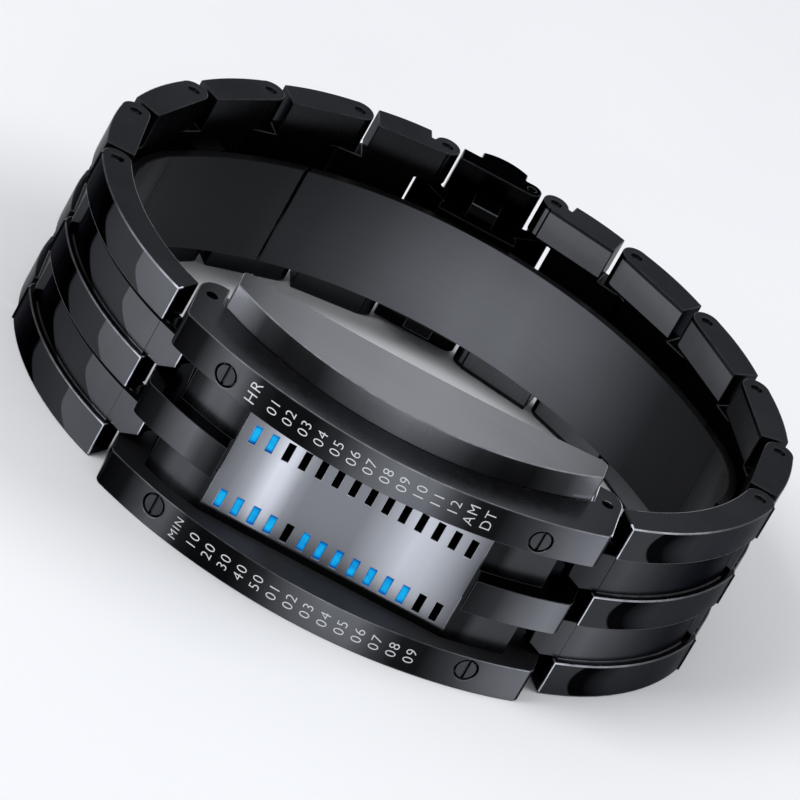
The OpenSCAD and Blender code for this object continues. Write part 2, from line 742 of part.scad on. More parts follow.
// Clasp block on the long blade, with an ear for each band end and the cover's hinge
module clasp_block() color("#2a2d30") centred() difference() {
    union() {
        layer(inner_low + block_step, inner_high - block_step)
            translate([-block_half, block_low + fixed_fit])
                square([2 * block_half, block_high - block_low - fixed_fit]);
        both_sides() for (row = low_rows) layer(row[0] + side_play, row[1] - side_play) {
            translate(knuckle) circle(knuckle_r - side_play);
            polygon([
                [block_half - ear_sink, block_low + ear_rise],
                knuckle + [ear_out, side_play - knuckle_r],
                knuckle + [-ear_back, knuckle_r - block_step],
                [block_half + ear_back, block_high],
                [block_half - ear_sink, block_high - side_play]
            ]);
        }
        for (s = [-1, 1]) layer(mid_z + s * hinge_lug_z - hinge_lug_w / 2,
            mid_z + s * hinge_lug_z + hinge_lug_w / 2) {
            translate([hinge_x, hinge_y]) circle(hinge_lug_r);
            translate([hinge_x - hinge_lug_r, block_high - 0.5])
                square([2 * hinge_lug_r, hinge_y - block_high + 0.5]);
        }
    }
    both_sides() pin(knuckle, pin_r + play, 0, case_w);
    pin([hinge_x, hinge_y], hinge_pin_r + fixed_fit, 0, case_w);
    for (s = [0, 1]) translate([0, 0, mid_z]) mirror([0, 0, s]) button_hollow();
}
module button_hollow() {
    translate([-button_half - 0.1, button_y - 0.1, half_block - mouth_t - flange_t
        - button_travel - 0.1])
        cube([2 * button_half + 0.2, button_h + 0.2, flange_t + button_travel + 0.15]);
    translate([-mouth_half, button_y - 0.1, half_block - 1])
        cube([2 * mouth_half, button_h + 0.2, 2]);
    translate([0, button_y + button_h / 2, mid_wall / 2])
        cylinder(r = button_bore_r, h = half_block - 1);
}
module button() {
    translate([-button_half, button_y, half_block - mouth_t - flange_t])
        cube([2 * button_half, button_h, flange_t]);
    translate([-mouth_half + 0.1, button_y, half_block - mouth_t - 0.1])
        cube([2 * mouth_half - 0.2, button_h, mouth_t + 0.1 + button_stand]);
}
module upper_button() color("#50545a") centred() translate([0, 0, mid_z]) button();
module lower_button() color("#50545a") centred() translate([0, 0, mid_z])
    mirror([0, 0, 1]) button();
module button_spring() translate([0, button_y + button_h / 2, mid_wall / 2 + seat_gap])
    difference() {
        cylinder(r = spring_r, h = half_block - mouth_t - flange_t - mid_wall / 2 - 2 * seat_gap);
        translate([0, 0, -1]) cylinder(r = spring_inner_r, h = 20);
    }
module upper_spring() color("#9da0a4") centred() translate([0, 0, mid_z]) button_spring();
module lower_spring() color("#9da0a4") centred() translate([0, 0, mid_z])
    mirror([0, 0, 1]) button_spring();

// Clasp cover: a plate with a crowned finger ridge, hinged along one edge
module clasp_cover() color("#2f3236") centred() difference() {
    union() {
        layer(cover_inset, case_w - cover_inset) {
            translate([-cover_half, cover_low]) square([cover_half + hinge_x, cover_t]);
            translate([hinge_x, hinge_y]) circle(hinge_r);
        }
        intersection() {
            layer(ridge_inset, case_w - ridge_inset)
                translate([-ridge_half, cover_low + cover_t - 0.5])
                    square([2 * ridge_half, ridge_h + 0.5]);
            layer(0, case_w) translate([0, whole_depth - ridge_r]) circle(ridge_r);
        }
    }
    for (s = [-1, 1]) layer(mid_z + s * hinge_lug_z - hinge_lug_w / 2 - side_play,
        mid_z + s * hinge_lug_z + hinge_lug_w / 2 + side_play)
        translate([hinge_x - hinge_lug_r - 0.25, cover_low - 1]) square([5, cover_t + 2]);
    pin([hinge_x, hinge_y], hinge_pin_r + play, 0, case_w);
}
module cover_pin() color("#3a3d40") centred()
    pin([hinge_x, hinge_y], hinge_pin_r, 1, case_w - 1);

case_body();
hour_rail();
minute_rail();
rail_screws();
display_plate();
light_baffle();
lit_guides();
dark_guides();
led_chips();
circuit_board();
control_chip();
timing_crystal();
battery_tray();
coin_cells();
battery_contact();
back_cover();
back_gasket();
back_screws();
side_key();
key_clips();
key_seals();
key_springs();
key_switches();
case_pin();
for (i = [1:6]) {
    centred() left_side() band_link(i);
    centred() left_side() link_pin(i);
    centred() band_link(i);
    centred() link_pin(i);
}
spring_bars();
short_blade();
long_blade();
clasp_block();
clasp_cover();
cover_pin();
upper_button();
lower_button();
upper_spring();
lower_spring();
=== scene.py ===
"""Looks of a wrist watch on a black steel bracelet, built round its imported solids. Metres."""

import json
import math

import bmesh
import bpy
from mathutils import Matrix, Vector

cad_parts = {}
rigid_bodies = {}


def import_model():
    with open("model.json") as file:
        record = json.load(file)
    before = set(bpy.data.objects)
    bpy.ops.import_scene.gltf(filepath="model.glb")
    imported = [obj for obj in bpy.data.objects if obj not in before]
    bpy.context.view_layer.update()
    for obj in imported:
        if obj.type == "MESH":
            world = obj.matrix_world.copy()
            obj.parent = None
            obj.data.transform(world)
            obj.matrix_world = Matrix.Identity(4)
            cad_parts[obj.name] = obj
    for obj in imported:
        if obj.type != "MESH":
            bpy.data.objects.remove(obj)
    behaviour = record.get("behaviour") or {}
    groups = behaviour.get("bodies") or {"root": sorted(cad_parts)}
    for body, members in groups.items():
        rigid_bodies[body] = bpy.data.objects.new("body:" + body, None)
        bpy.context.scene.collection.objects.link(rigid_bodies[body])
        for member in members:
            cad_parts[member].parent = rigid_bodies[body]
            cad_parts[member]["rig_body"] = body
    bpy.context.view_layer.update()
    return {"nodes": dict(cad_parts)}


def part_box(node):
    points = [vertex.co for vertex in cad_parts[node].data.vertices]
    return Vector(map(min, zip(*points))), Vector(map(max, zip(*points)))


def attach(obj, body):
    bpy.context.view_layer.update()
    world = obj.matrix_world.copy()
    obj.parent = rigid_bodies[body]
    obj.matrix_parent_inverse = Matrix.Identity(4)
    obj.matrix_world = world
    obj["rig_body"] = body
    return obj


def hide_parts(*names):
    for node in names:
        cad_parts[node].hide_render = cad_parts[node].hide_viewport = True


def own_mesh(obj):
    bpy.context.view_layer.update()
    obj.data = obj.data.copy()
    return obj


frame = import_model()

MM = 0.001
CASE_W = 21.8 * MM
MID_Z = CASE_W / 2
RAIL_R = 45.0 * MM                          # radius of the rails' curved fronts
FRONT_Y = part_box("hour_rail")[0].y
SLOT_PITCH, SLOTS = 1.86 * MM, 14
HOUR_SLOTS_Z, MINUTE_SLOTS_Z = 14.6 * MM, 6.35 * MM     # middles of the two rows of slots
HOUR_PRINT_Z, MINUTE_PRINT_Z = 19.8 * MM, 2.0 * MM      # middles of the two rows of figures

# Rows of a link, counted from its middle: where the middle row ends and the outer ones begin,
# and the middles of the low rows and of the outer rows.
MIDDLE_ROW, OUTER_ROW, LOW_AT, OUTER_AT = 1.95 * MM, 6.85 * MM, 4.4 * MM, 8.875 * MM


# ---------------------------------------------------------------- materials
STUDIO = 0.85                               # share of its colour that bare metal shows here
COOL = (0.95, 0.98, 1.07)                   # tint of all metals
DARK_RIM = (0.42, 0.42, 0.43)               # keeps coated steel dark at grazing angles
CLOUDS, WIPES, SCRATCHES = 70, 900, 5200    # marks on coated steel, in a metre


class Value:
    """A number that changes over a surface. Arithmetic on it adds Math nodes."""

    def __init__(self, finish, out):
        self.finish, self.out = finish, out

    def __add__(self, other): return self.finish.maths("ADD", self, other)
    def __radd__(self, other): return self.finish.maths("ADD", other, self)
    def __sub__(self, other): return self.finish.maths("SUBTRACT", self, other)
    def __rsub__(self, other): return self.finish.maths("SUBTRACT", other, self)
    def __mul__(self, other): return self.finish.maths("MULTIPLY", self, other)
    def __rmul__(self, other): return self.finish.maths("MULTIPLY", other, self)
    def __gt__(self, other): return self.finish.maths("GREATER_THAN", self, other)
    def __lt__(self, other): return self.finish.maths("LESS_THAN", self, other)
    def size(self): return self.finish.maths("ABSOLUTE", self)

    def between(self, low, high, start=0.0, end=1.0):
        """start below low, end above high, smooth in between."""
        return Value(self.finish, self.finish.node(
            "ShaderNodeMapRange", {"interpolation_type": "SMOOTHSTEP"},
            {0: self, 1: low, 2: high, 3: start, 4: end}).outputs[0])


class Finish:
    """One procedural material: a principled shader and the nodes that feed it."""

    def __init__(self, name):
        self.material = bpy.data.materials.new(name)
        self.material.use_nodes = True
        self.tree = self.material.node_tree
        self.shader = self.tree.nodes["Principled BSDF"]
        coordinates = self.node("ShaderNodeTexCoord")
        self.place = coordinates.outputs["Object"]
        split = self.node("ShaderNodeSeparateXYZ", {}, {0: self.place})
        self.x, self.y, self.z = (Value(self, o) for o in split.outputs)
        faces = self.node("ShaderNodeSeparateXYZ", {}, {0: coordinates.outputs["Normal"]})
        self.nx, self.ny, self.nz = (Value(self, o) for o in faces.outputs)

    def node(self, kind, settings=None, sockets=None):
        """A new node. Of its settings, stops are the places and colours of a ramp."""
        made = self.tree.nodes.new(kind)
        for key, value in (settings or {}).items():
            if key == "stops":
                ramp = made.color_ramp
                ramp.interpolation = "LINEAR"
                while len(ramp.elements) < len(value):
                    ramp.elements.new(0.5)
                for element, (at, colour) in zip(ramp.elements, value):
                    element.position, element.color = at, (*colour, 1.0)
            else:
                setattr(made, key, value)
        for key, value in (sockets or {}).items():
            self.feed(made.inputs[key], value)
        return made

    def feed(self, socket, value):
        """Links a socket to what feeds it, or gives it a constant."""
        if isinstance(value, Value):
            value = value.out
        if isinstance(value, bpy.types.NodeSocket):
            self.tree.links.new(value, socket)
        elif isinstance(value, tuple) and len(value) == 3 and socket.type == "RGBA":
            socket.default_value = (*value, 1.0)
        else:
            socket.default_value = value

    def maths(self, operation, *terms):
        made = self.node("ShaderNodeMath", {"operation": operation}, dict(enumerate(terms)))
        return Value(self, made.outputs[0])

    def noise(self, scale, detail=3.0, rough=0.55, stretch=(1, 1, 1)):
        """Soft noise from 0 to 1; scale counts its patches in a metre."""
        at = self.node("ShaderNodeMapping", {}, {"Vector": self.place, "Scale": stretch})
        made = self.node("ShaderNodeTexNoise", {}, {
            "Vector": at.outputs[0], "Scale": scale, "Detail": detail, "Roughness": rough})
        return Value(self, made.outputs[0])

    def mix(self, share, first, second):
        """The first colour where share is 0, the second where it is 1."""
        made = self.node("ShaderNodeMix", {"data_type": "RGBA"}, {0: share, 6: first, 7: second})
        return made.outputs[2]

    def tones(self, value, *stops):
        """Greys along a value; each stop is a place in mm and the grey seen there, 0 to 255."""
        low, high = stops[0][0], stops[-1][0]
        share = self.node("ShaderNodeMapRange", {}, {0: value, 1: low * MM, 2: high * MM})
        places = [((at - low) / (high - low), grey(seen)) for at, seen in stops]
        made = self.node("ShaderNodeValToRGB", {"stops": places}, {0: share.outputs[0]})
        return made.outputs[0]

    def scaled(self, colour, factor):
        """A colour made darker or lighter by a value."""
        made = self.node("ShaderNodeVectorMath", {"operation": "SCALE"},
                         {"Vector": colour, "Scale": factor})
        return made.outputs[0]

    def bump(self, height, depth):
        """Fine relief that only turns the light."""
        return self.node("ShaderNodeBump", {}, {
            "Height": height, "Distance": depth, "Strength": 1.0}).outputs[0]

    def set(self, **values):
        """Feeds the shader's own sockets and gives back the material."""
        for key, value in values.items():
            self.feed(self.shader.inputs[key.replace("_", " ")], value)
        return self.material


def grey(seen):
    """Cool metal colour that shows as this grey, 0 to 255, under the pale studio."""
    light = ((seen / 255 + 0.055) / 1.055) ** 2.4 / STUDIO
    return tuple(light * tint for tint in COOL)


def colour_of(tone, f):
    """A tone is the grey that is seen, a colour, or a function that gives one."""
    if callable(tone):
        return tone(f)
    return tone if isinstance(tone, tuple) else grey(tone)


def coated_steel(name, tone=50, rough=0.26, matt=None, metallic=1.0, gain=1.0):
    """Black coated steel: its tone, with cloudy patches, faint wipe marks and fine scratches."""
    f = Finish(name)
    cloud = f.noise(CLOUDS, 2.0)
    wipes = f.noise(WIPES, 4.0, 0.6, (1, 1, 0.12))
    fine = f.noise(SCRATCHES, 2.0, 0.5, (1, 1, 0.05))
    colour = f.scaled(colour_of(tone, f),
                      (0.82 + cloud.between(0.3, 0.7, 0.0, 0.24) + wipes * 0.12) * gain)
    roughness = rough + (wipes - 0.5) * 0.10 + (fine - 0.5) * 0.05
    if matt:
        roughness = roughness + matt(f)
    f.set(Specular_Tint=DARK_RIM)
    metal = metallic(f) if callable(metallic) else metallic
    return f.set(Base_Color=colour, Metallic=metal, Roughness=roughness,
                 Normal=f.bump(fine, 0.0000012))


def satin(name, tone, rough, lines=(0.02, 1, 1), count=2600, gain=1.0):
    """Brushed metal; lines stretches the brush marks along one way."""
    f = Finish(name)
    brush = f.noise(count, 3.0, 0.6, lines)
    cloud = f.noise(60, 2.0)
    colour = f.scaled(colour_of(tone, f),
                      (0.80 + brush * 0.22 + cloud.between(0.3, 0.7) * 0.16) * gain)
    return f.set(Base_Color=colour, Metallic=1.0, Roughness=rough + (brush - 0.5) * 0.14,
                 Normal=f.bump(brush, 0.000002))


def painted_edge_light(name, tone):
    """Thin line of painted highlight along an eased edge, patchy along its length."""
    f = Finish(name)
    glint_patches = f.noise(700, 3.0)
    colour = f.scaled(colour_of(tone, f), glint_patches.between(0.3, 0.7, 0.7, 1.1))
    return f.set(Base_Color=colour, Metallic=1.0, Roughness=0.3 + (glint_patches - 0.5) * 0.12)


def moulded(name, colour, rough, coat=0.0):
    """Moulded plastic or rubber with a fine even grain."""
    f = Finish(name)
    grain, cloud = f.noise(2200, 2.0), f.noise(160, 2.0)
    tone = f.mix(cloud, tuple(c * 0.75 for c in colour), tuple(min(1, c * 1.25) for c in colour))
    f.set(Specular_IOR_Level=0.5, Coat_Weight=coat)
    return f.set(Base_Color=tone, Roughness=rough + (grain - 0.5) * 0.12,
                 Normal=f.bump(grain, 0.000004))


def mirror_plate(name):
    """Silvered plate with two soft bright bands across it and a fine grain along the axis."""
    f = Finish(name)
    grain = f.noise(3800, 3.0, 0.6, (1, 1, 0.03))
    # The two soft bright bands are painted reflections.
    bands = f.tones(f.x, (-13.65, 108), (-12, 128), (-10.4, 160), (-8.6, 220), (-7.5, 212),
                    (-6, 148), (-4.8, 128), (1.4, 128), (4.2, 166), (6.8, 200), (9.2, 184),
                    (11.6, 146), (13.65, 96))
    colour = f.scaled(bands, 0.95 + grain * 0.1)
    return f.set(Base_Color=colour, Metallic=1.0, Roughness=0.42 + (grain - 0.5) * 0.1)


def lamp(name, centre, rim, strength):
    """Light guide: bright in the middle of each slot and deeper blue at its rim. The minute
    row is a little dimmer, and the glow is uneven."""
    f = Finish(name)
    split = (10.4 * MM, 10.5 * MM)          # between the two rows of slots
    row = f.z.between(*split, MINUTE_SLOTS_Z, HOUR_SLOTS_Z)
    full = f.z.between(*split, 0.74, 0.9)
    across = f.maths("PINGPONG", f.x, SLOT_PITCH / 2)
    inner = (f.z - row).size().between(0.6 * MM, 1.08 * MM, 1.0, 0.0)
    shine = f.noise(900, 2.0)
    share = inner * across.between(0.45 * MM, 0.75 * MM) * full + (shine - 0.5) * 1.1
    colour = f.mix(share, rim, centre)
    f.set(Emission_Strength=strength, Roughness=0.35, Specular_IOR_Level=0.0)
    return f.set(Base_Color=f.scaled(colour, 0.12), Emission_Color=colour)


def board(name):
    """Green solder mask with slanting paler bands where copper lies under it."""
    f = Finish(name)
    track = f.maths("PINGPONG", f.x + f.z * 0.5, 1.1 * MM)
    share = track.between(0.42 * MM, 0.5 * MM) * f.noise(300, 1.0).between(0.45, 0.5)
    colour = f.mix(share, (0.012, 0.06, 0.03), (0.03, 0.15, 0.07))
    return f.set(Base_Color=colour, Roughness=0.32 + share * 0.1, Coat_Weight=0.3)


def print_white(name):
    """Printed ink with a slightly uneven cover."""
    f = Finish(name)
    ink = f.noise(3500, 2.0)
    colour = f.mix(ink, (0.52, 0.53, 0.55), (0.76, 0.77, 0.79))
    return f.set(Base_Color=colour, Roughness=0.45 + (ink - 0.5) * 0.1)


# ---------------------------------------------------------------- painted light of single pieces
CORNER_BOW, END_BOW = 300, 230              # how far painted pale patches bow with height, in 1/m


def inner_side(f):
    """The minute rail's side next to the lamps is duller."""
    return f.nz.between(0.5, 0.8) * (f.z < 6 * MM) * 0.32


# Painted reflections and shade on the rails; the minute rail's rims are painted darker still.
def rail_painted_light(f):
    """Rails: fronts pale in the middle and towards both ends and black between, rims dimmer."""
    front = f.tones(f.x, (-23.5, 8), (-21, 22), (-19, 70), (-17.5, 90), (-16, 88), (-14, 30),
                    (-12, 15), (-8, 16), (-5, 40), (-1, 86), (2, 102), (5.5, 98), (8, 60),
                    (10.5, 24), (13, 20), (17, 60), (20.5, 94), (23.5, 114))
    rim = f.tones(f.x, (-23.5, 46), (-20, 64), (-17, 66), (-10, 90), (6, 86), (14, 82), (19, 62),
                  (23.5, 52))
    rim = f.scaled(rim, f.z.between(5 * MM, 7 * MM, 0.6, 1.0))
    return f.mix(f.ny.between(-0.55, -0.75), rim, front)


def rail_edge_highlight(f):
    """A thin painted highlight along the rails' upper edges, brightest behind the right end."""
    line = f.scaled(f.mix(0.12, rail_painted_light(f), grey(110)), f.nz.between(0.1, 0.4, 1.0, 1.9))
    behind = (f.x > 19 * MM) * (f.y > FRONT_Y + 7 * MM) * (f.z > MID_Z)
    return f.mix(behind, line, grey(225))


# Painted reflections on the case body's middle lugs and low plates.
def body_painted_light(f):
    """Middle lugs and low plates: pale bands beside the display, stronger on the lugs."""
    lug = f.tones(f.x, (-23.7, 10), (-21.6, 26), (-19, 88), (-17.6, 98), (-16.2, 62), (-14.4, 28),
                  (14, 25), (16.8, 47), (20, 95), (22.2, 116), (23.7, 112))
    low = f.tones(f.x, (-20.4, 8), (-19, 42), (-17.8, 85), (-16, 85), (-14.2, 38), (15.2, 32),
                  (16.2, 64), (20.4, 64))
    low = f.scaled(low, 0.95)
    raised = (f.z - MID_Z).size().between(1.92 * MM, 1.98 * MM, 1.0, 0.0)
    front = f.mix(raised, low, lug)
    return f.mix(f.ny.between(-0.4, -0.7), grey(30), front)


# Painted highlight on the side key's top.
def key_top_painted_light(f):
    """Top of the side key: palest in the middle."""
    return f.tones(f.x, (-20.6, 46), (-17, 100), (-12, 124), (-3, 136), (3, 134), (12, 126),
                   (18, 108), (20.6, 90))


# Painted reflections and shade on the side key's front.
def key_front_painted_light(f):
    """Front of the side key: pale at both ends and in the middle, black between."""
    return f.tones(f.x, (-20.6, 124), (-19, 106), (-16.5, 40), (-13.5, 17), (-9.5, 24), (-6, 66),
                   (0, 95), (4, 78), (8, 34), (11, 17), (14, 18), (17.5, 60), (19.5, 108),
                   (20.6, 122))


# Painted reflections on the inner blades, with their narrow sides painted dark as shade.
def blade_painted_light(f):
    """Inner blades: palest right of the middle, dark at both ends and on their narrow sides."""
    face = f.tones(f.x, (-31, 24), (-21, 33), (-15, 44), (-9, 62), (-3, 86), (3, 101), (9, 102),
                   (15, 88), (20, 66), (25, 36), (31, 22))
    return f.mix(f.nz.size().between(0.2, 0.6), face, grey(14))


# Painted reflection on the screw heads.
def screw_painted_light(f):
    """Heads of the screws: paler towards both ends of the case."""
    return f.tones(f.x.size(), (16, 62), (19, 74))


def link_rows(f):
    """1 on a link's raised rows and 0 on its low ones, and the height from each row's middle."""
    off = f.z - MID_Z
    outer = off.size() > OUTER_ROW
    low = (off.size() > MIDDLE_ROW) * (1 - outer)
    row = f.maths("SIGN", off) * (low * LOW_AT + outer * OUTER_AT)
    return 1 - low, off - row


# Painted light: the pale patch is a reflection, the black seams shadow under the raised rows.
def left_link_painted_light(f):
    """First left link: a pale patch next to the case, rounded below on each row, black seams."""
    raised, height = link_rows(f)
    corner = f.maths("MAXIMUM", 0.4 * MM - height, 0.0)
    bow = f.x - corner * corner * CORNER_BOW
    outer = f.tones(bow, (-38.8, 22), (-36.8, 22), (-35.9, 9), (-35.1, 9), (-34.8, 56), (-24, 60))
    patch = bow + raised * 0.5 * MM + 29.8 * MM
    outer = f.mix(patch.between(0.0, 0.12 * MM), outer, grey(92))
    # Painted shadow along the low rows just under the raised ones.
    seam_shadow = (1 - raised) * height.between(1.70 * MM, 1.76 * MM)
    outer = f.mix(seam_shadow, outer, grey(4))
    return f.mix(f.nx.between(-0.15, -0.35), grey(48), outer)


# Painted reflections and shade on the first right link.
def right_link_painted_light(f):
    """First right link: raised rows turn black behind their ends, low rows stay soft."""
    raised, height = link_rows(f)
    bow = f.x - height * height * END_BOW
    bar = f.tones(bow, (23, 52), (27.7, 56), (27.9, 9), (29.2, 12), (31.8, 52), (36, 57),
                  (38.5, 26))
    low = f.tones(f.x, (23, 42), (27.2, 66), (31.4, 44), (35, 30), (38.5, 22))
    low = f.scaled(low, f.z.between(9 * MM, 13 * MM, 1.8, 1.0))
    return f.mix(f.nx.between(0.15, 0.35), grey(52), f.mix(raised, low, bar))


# Painted highlights on the first links' edges, painted shade below them and between the hooks.
def first_link_painted_edge(tone, nose):
    """First links: bright upper and end edges, and black ones below. The low rows' edges shine
    only as far out as nose, and what faces the case between the hooks stays dark."""
    def shape(f):
        raised, _ = link_rows(f)
        along = f.x.size()
        line = f.tones(along, (22, 235), (25.4, 220), (26.6, 170), (31.5, 125), (35, 60),
                       (38.8, 40))
        line = f.mix(f.nz.between(-0.45, -0.15), grey(6), line)
        crease = (1 - raised) * (along > nose)
        inside = (along < 25.2 * MM) * (f.y > -22.9 * MM)
        return f.mix(inside, f.mix(crease, line, tone(f)), grey(26))
    return shape


# The panels' greys are painted light and shade, on faces made less metallic.
def painted_panel_steel(name, heading, seen):
    """Far right links: a duller panel on the inner faces of both outer rows. heading is where
    those faces look, in degrees, and seen is the panel's grey."""
    way = math.radians(heading)

    def panel(f):
        facing = f.nx * -math.sin(way) + f.ny * math.cos(way)
        row = (f.z - MID_Z).size()
        return (facing.between(0.9, 0.96) * row.between(7.1 * MM, 7.2 * MM)
                * row.between(10.38 * MM, 10.48 * MM, 1.0, 0.0))

    def tone(f):
        rest = f.mix(f.nz.size().between(0.6, 0.9), grey(44), grey(52))
        return f.mix(panel(f), rest, grey(seen))

    return coated_steel(name, tone, metallic=lambda f: 1 - panel(f) * 0.8)


# ---------------------------------------------------------------- the finishes
steel = coated_steel("black_steel")
rail_steel = coated_steel("rail_steel", rail_painted_light, matt=inner_side)
body_steel = coated_steel("body_steel", body_painted_light)
left_steel = coated_steel("left_link_steel", left_link_painted_light)
right_steel = coated_steel("right_link_steel", right_link_painted_light)
clasp_steel = coated_steel("clasp_steel", 16, 0.24)
key_front = coated_steel("key_front_steel", key_front_painted_light, metallic=0.3, gain=1.55)

LENGTHWISE, EVEN = (1, 1, 0.05), (1, 1, 1)  # brush marks along the pins, and in no direction
key_top = satin("key_steel", key_top_painted_light, 0.34, gain=0.8)
blade_steel = satin("blade_steel", blade_painted_light, 0.34, (0.02, 0.02, 1), gain=1.28)
cover_steel = satin("back_cover_steel", 118, 0.32)
gilt = satin("gilt_contact", (0.72, 0.52, 0.22), 0.28)
pin_steel = satin("pin_steel", 74, 0.34, LENGTHWISE)
# Pins painted near-black, as the shade of the holes they sit in.
shaded_pin = satin("dark_pin_steel", 12, 0.34, LENGTHWISE)
bright_steel = satin("bright_steel", 190, 0.22, EVEN, 1800)
screw_steel = satin("screw_steel", screw_painted_light, 0.32, EVEN, 1500)

# Painted highlight lines on the eased edges.
edge = painted_edge_light("painted_edge_light", 72)
dim_edge = painted_edge_light("dim_edge_steel", 58)
far_edge = painted_edge_light("far_edge_steel", 48)
clasp_edge = painted_edge_light("clasp_edge_steel", 34)
key_rim = painted_edge_light("key_edge_steel", 128)
plate_edge = painted_edge_light("plate_edge", 200)
rail_rim = painted_edge_light("rail_edge_steel", rail_edge_highlight)
left_rim = painted_edge_light("left_link_edge_steel", first_link_painted_edge(left_link_painted_light, 23.1 * MM))
right_rim = painted_edge_light("right_link_edge_steel", first_link_painted_edge(right_link_painted_light, 0.0))

plate_silver = mirror_plate("mirror_plate")
lit = lamp("lamp_lit", (0.010, 0.44, 0.84), (0.003, 0.09, 0.40), 1.0)
unlit = lamp("lamp_dark", (0.0018, 0.002, 0.0024), (0.004, 0.0044, 0.005), 0.0)
white = print_white("printed_white")
black_plastic = moulded("black_plastic", (0.018, 0.018, 0.02), 0.55)
chip_plastic = moulded("chip_plastic", (0.022, 0.022, 0.024), 0.42)
lamp_body = moulded("lamp_body", (0.62, 0.58, 0.46), 0.35, 0.4)
rubber = moulded("black_rubber", (0.014, 0.014, 0.015), 0.7)
green_board = board("green_board")


# ---------------------------------------------------------------- modelling helpers
MERGE, SLIVER, INK_MERGE = 0.000002, 0.000001, 0.0000005    # points this near become one
FLAT, SHARP = math.radians(0.4), math.radians(38)           # faces made one, edges eased
SMOOTH, COIL_SMOOTH = math.radians(22), math.radians(50)    # edges shaded smooth up to here
PIN_END = 0.9 * MM                                          # reach of a pin's hole and its rim

# Shallow steps in some solids, which are not eased: |x| from and to, and y from and to, in mm.
HOOK_STEP, BLADE_STEP = (25.5, 25.6, -60, -22.6), (31.5, 32.5, 8.65, 9.45)
STEPPED = {"left_link_1": HOOK_STEP, "right_link_1": HOOK_STEP,
           "long_blade": BLADE_STEP, "short_blade": BLADE_STEP}


def middle(node):
    low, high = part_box(node)
    return (low + high) / 2


PINS = [f"{side}_pin_{i}" for side in ("left", "right") for i in range(1, 7)]
CASE_PIN = middle("case_pin")
PIN_AXES = [middle(n) for n in PINS] + [CASE_PIN, Vector((-CASE_PIN.x, CASE_PIN.y, CASE_PIN.z))]


def near_pin(place):
    return any((place - axis).xy.length < PIN_END for axis in PIN_AXES)


def deselect():
    for o in bpy.context.selected_objects:
        o.select_set(False)


def only(o):
    deselect()
    o.select_set(True)
    bpy.context.view_layer.objects.active = o


def apply_modifiers(o):
    only(o)
    for m in list(o.modifiers):
        bpy.ops.object.modifier_apply(modifier=m.name)


def edit(o, *steps):
    """Runs mesh operators on all of o, as in edit mode."""
    only(o)
    bpy.ops.object.mode_set(mode="EDIT")
    bpy.ops.mesh.select_all(action="SELECT")
    for step in steps:
        step()
    bpy.ops.object.mode_set(mode="OBJECT")


def joined(pieces, name):
    """Makes one object of several, and leaves it selected."""
    only(pieces[0])
    for o in pieces[1:]:
        o.select_set(True)
    if len(pieces) > 1:
        bpy.ops.object.join()
    pieces[0].name = name
    return pieces[0]


def weigh_edges(o, near, far, low, high):
    """Marks the sharp edges of a piece, but not those of its shallow step."""
    mesh = bmesh.new()
    mesh.from_mesh(o.data)
    weight = mesh.edges.layers.float.new("bevel_weight_edge")
    for e in mesh.edges:
        step = all(near * MM < abs(v.co.x) < far * MM and low * MM < v.co.y < high * MM
                   for v in e.verts)
        sharp = len(e.link_faces) == 2 and e.calc_face_angle(0) > SHARP
        e[weight] = float(sharp and not step)
    mesh.to_mesh(o.data)
    mesh.free()


def eased(node, word, width, material, edge_material):
    """A copy of a CAD node takes its place, named node_word, its sharp edges eased by a width
    in mm. The eased edges have a material of their own, but not round the pins."""
    o = bpy.data.objects.new(f"{node}_{word}", frame["nodes"][node].data.copy())
    bpy.context.scene.collection.objects.link(o)
    edit(o, lambda: bpy.ops.mesh.remove_doubles(threshold=MERGE),
         lambda: bpy.ops.mesh.dissolve_limited(angle_limit=FLAT))
    o.data.materials.clear()
    o.data.materials.append(material)
    o.data.materials.append(edge_material)
    bevel = o.modifiers.new("eased", "BEVEL")
    bevel.width, bevel.segments, bevel.material = width * MM, 2, 1
    bevel.limit_method, bevel.angle_limit = "ANGLE", SHARP
    bevel.use_clamp_overlap = False
    bevel.miter_outer = "MITER_ARC"
    if node in STEPPED:
        weigh_edges(o, *STEPPED[node])
        bevel.limit_method = "WEIGHT"
    apply_modifiers(o)
    if node in STEPPED:
        edit(o, lambda: bpy.ops.mesh.dissolve_degenerate(threshold=SLIVER))
    # The eased edges' material is mostly a painted highlight; round the pins the faces keep the
    # piece's own.
    for face in o.data.polygons:
        if face.material_index == 1 and near_pin(face.center):
            face.material_index = 0
    bpy.ops.object.shade_smooth_by_angle(angle=SMOOTH)
    even = o.modifiers.new("even", "WEIGHTED_NORMAL")
    even.keep_sharp = True
    apply_modifiers(o)
    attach(o, frame["nodes"][node]["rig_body"])
    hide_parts(node)
    return o


def dress(material, *nodes):
    """Gives CAD nodes that stay as they are their finish."""
    for n in nodes:
        o = frame["nodes"][n]
        o.data.materials.clear()
        o.data.materials.append(material)


# ---------------------------------------------------------------- case and key
eased("hour_rail", "polished", 0.11, rail_steel, rail_rim)
eased("minute_rail", "polished", 0.11, rail_steel, rail_rim)
eased("case_body", "polished", 0.07, body_steel, dim_edge)
key = eased("side_key", "polished", 0.12, key_top, key_rim)
key.data.materials.append(key_front)
for face in key.data.polygons:                  # the faces that look sideways
    if abs(face.normal.z) < 0.5 and face.material_index == 0:
        face.material_index = 2
eased("rail_screws", "turned", 0.05, screw_steel, dim_edge)
eased("back_cover", "brushed", 0.1, cover_steel, edge)
eased("back_screws", "turned", 0.05, screw_steel, edge)
eased("display_plate", "silvered", 0.03, plate_silver, plate_edge)
eased("coin_cells", "pressed", 0.12, bright_steel, plate_edge)

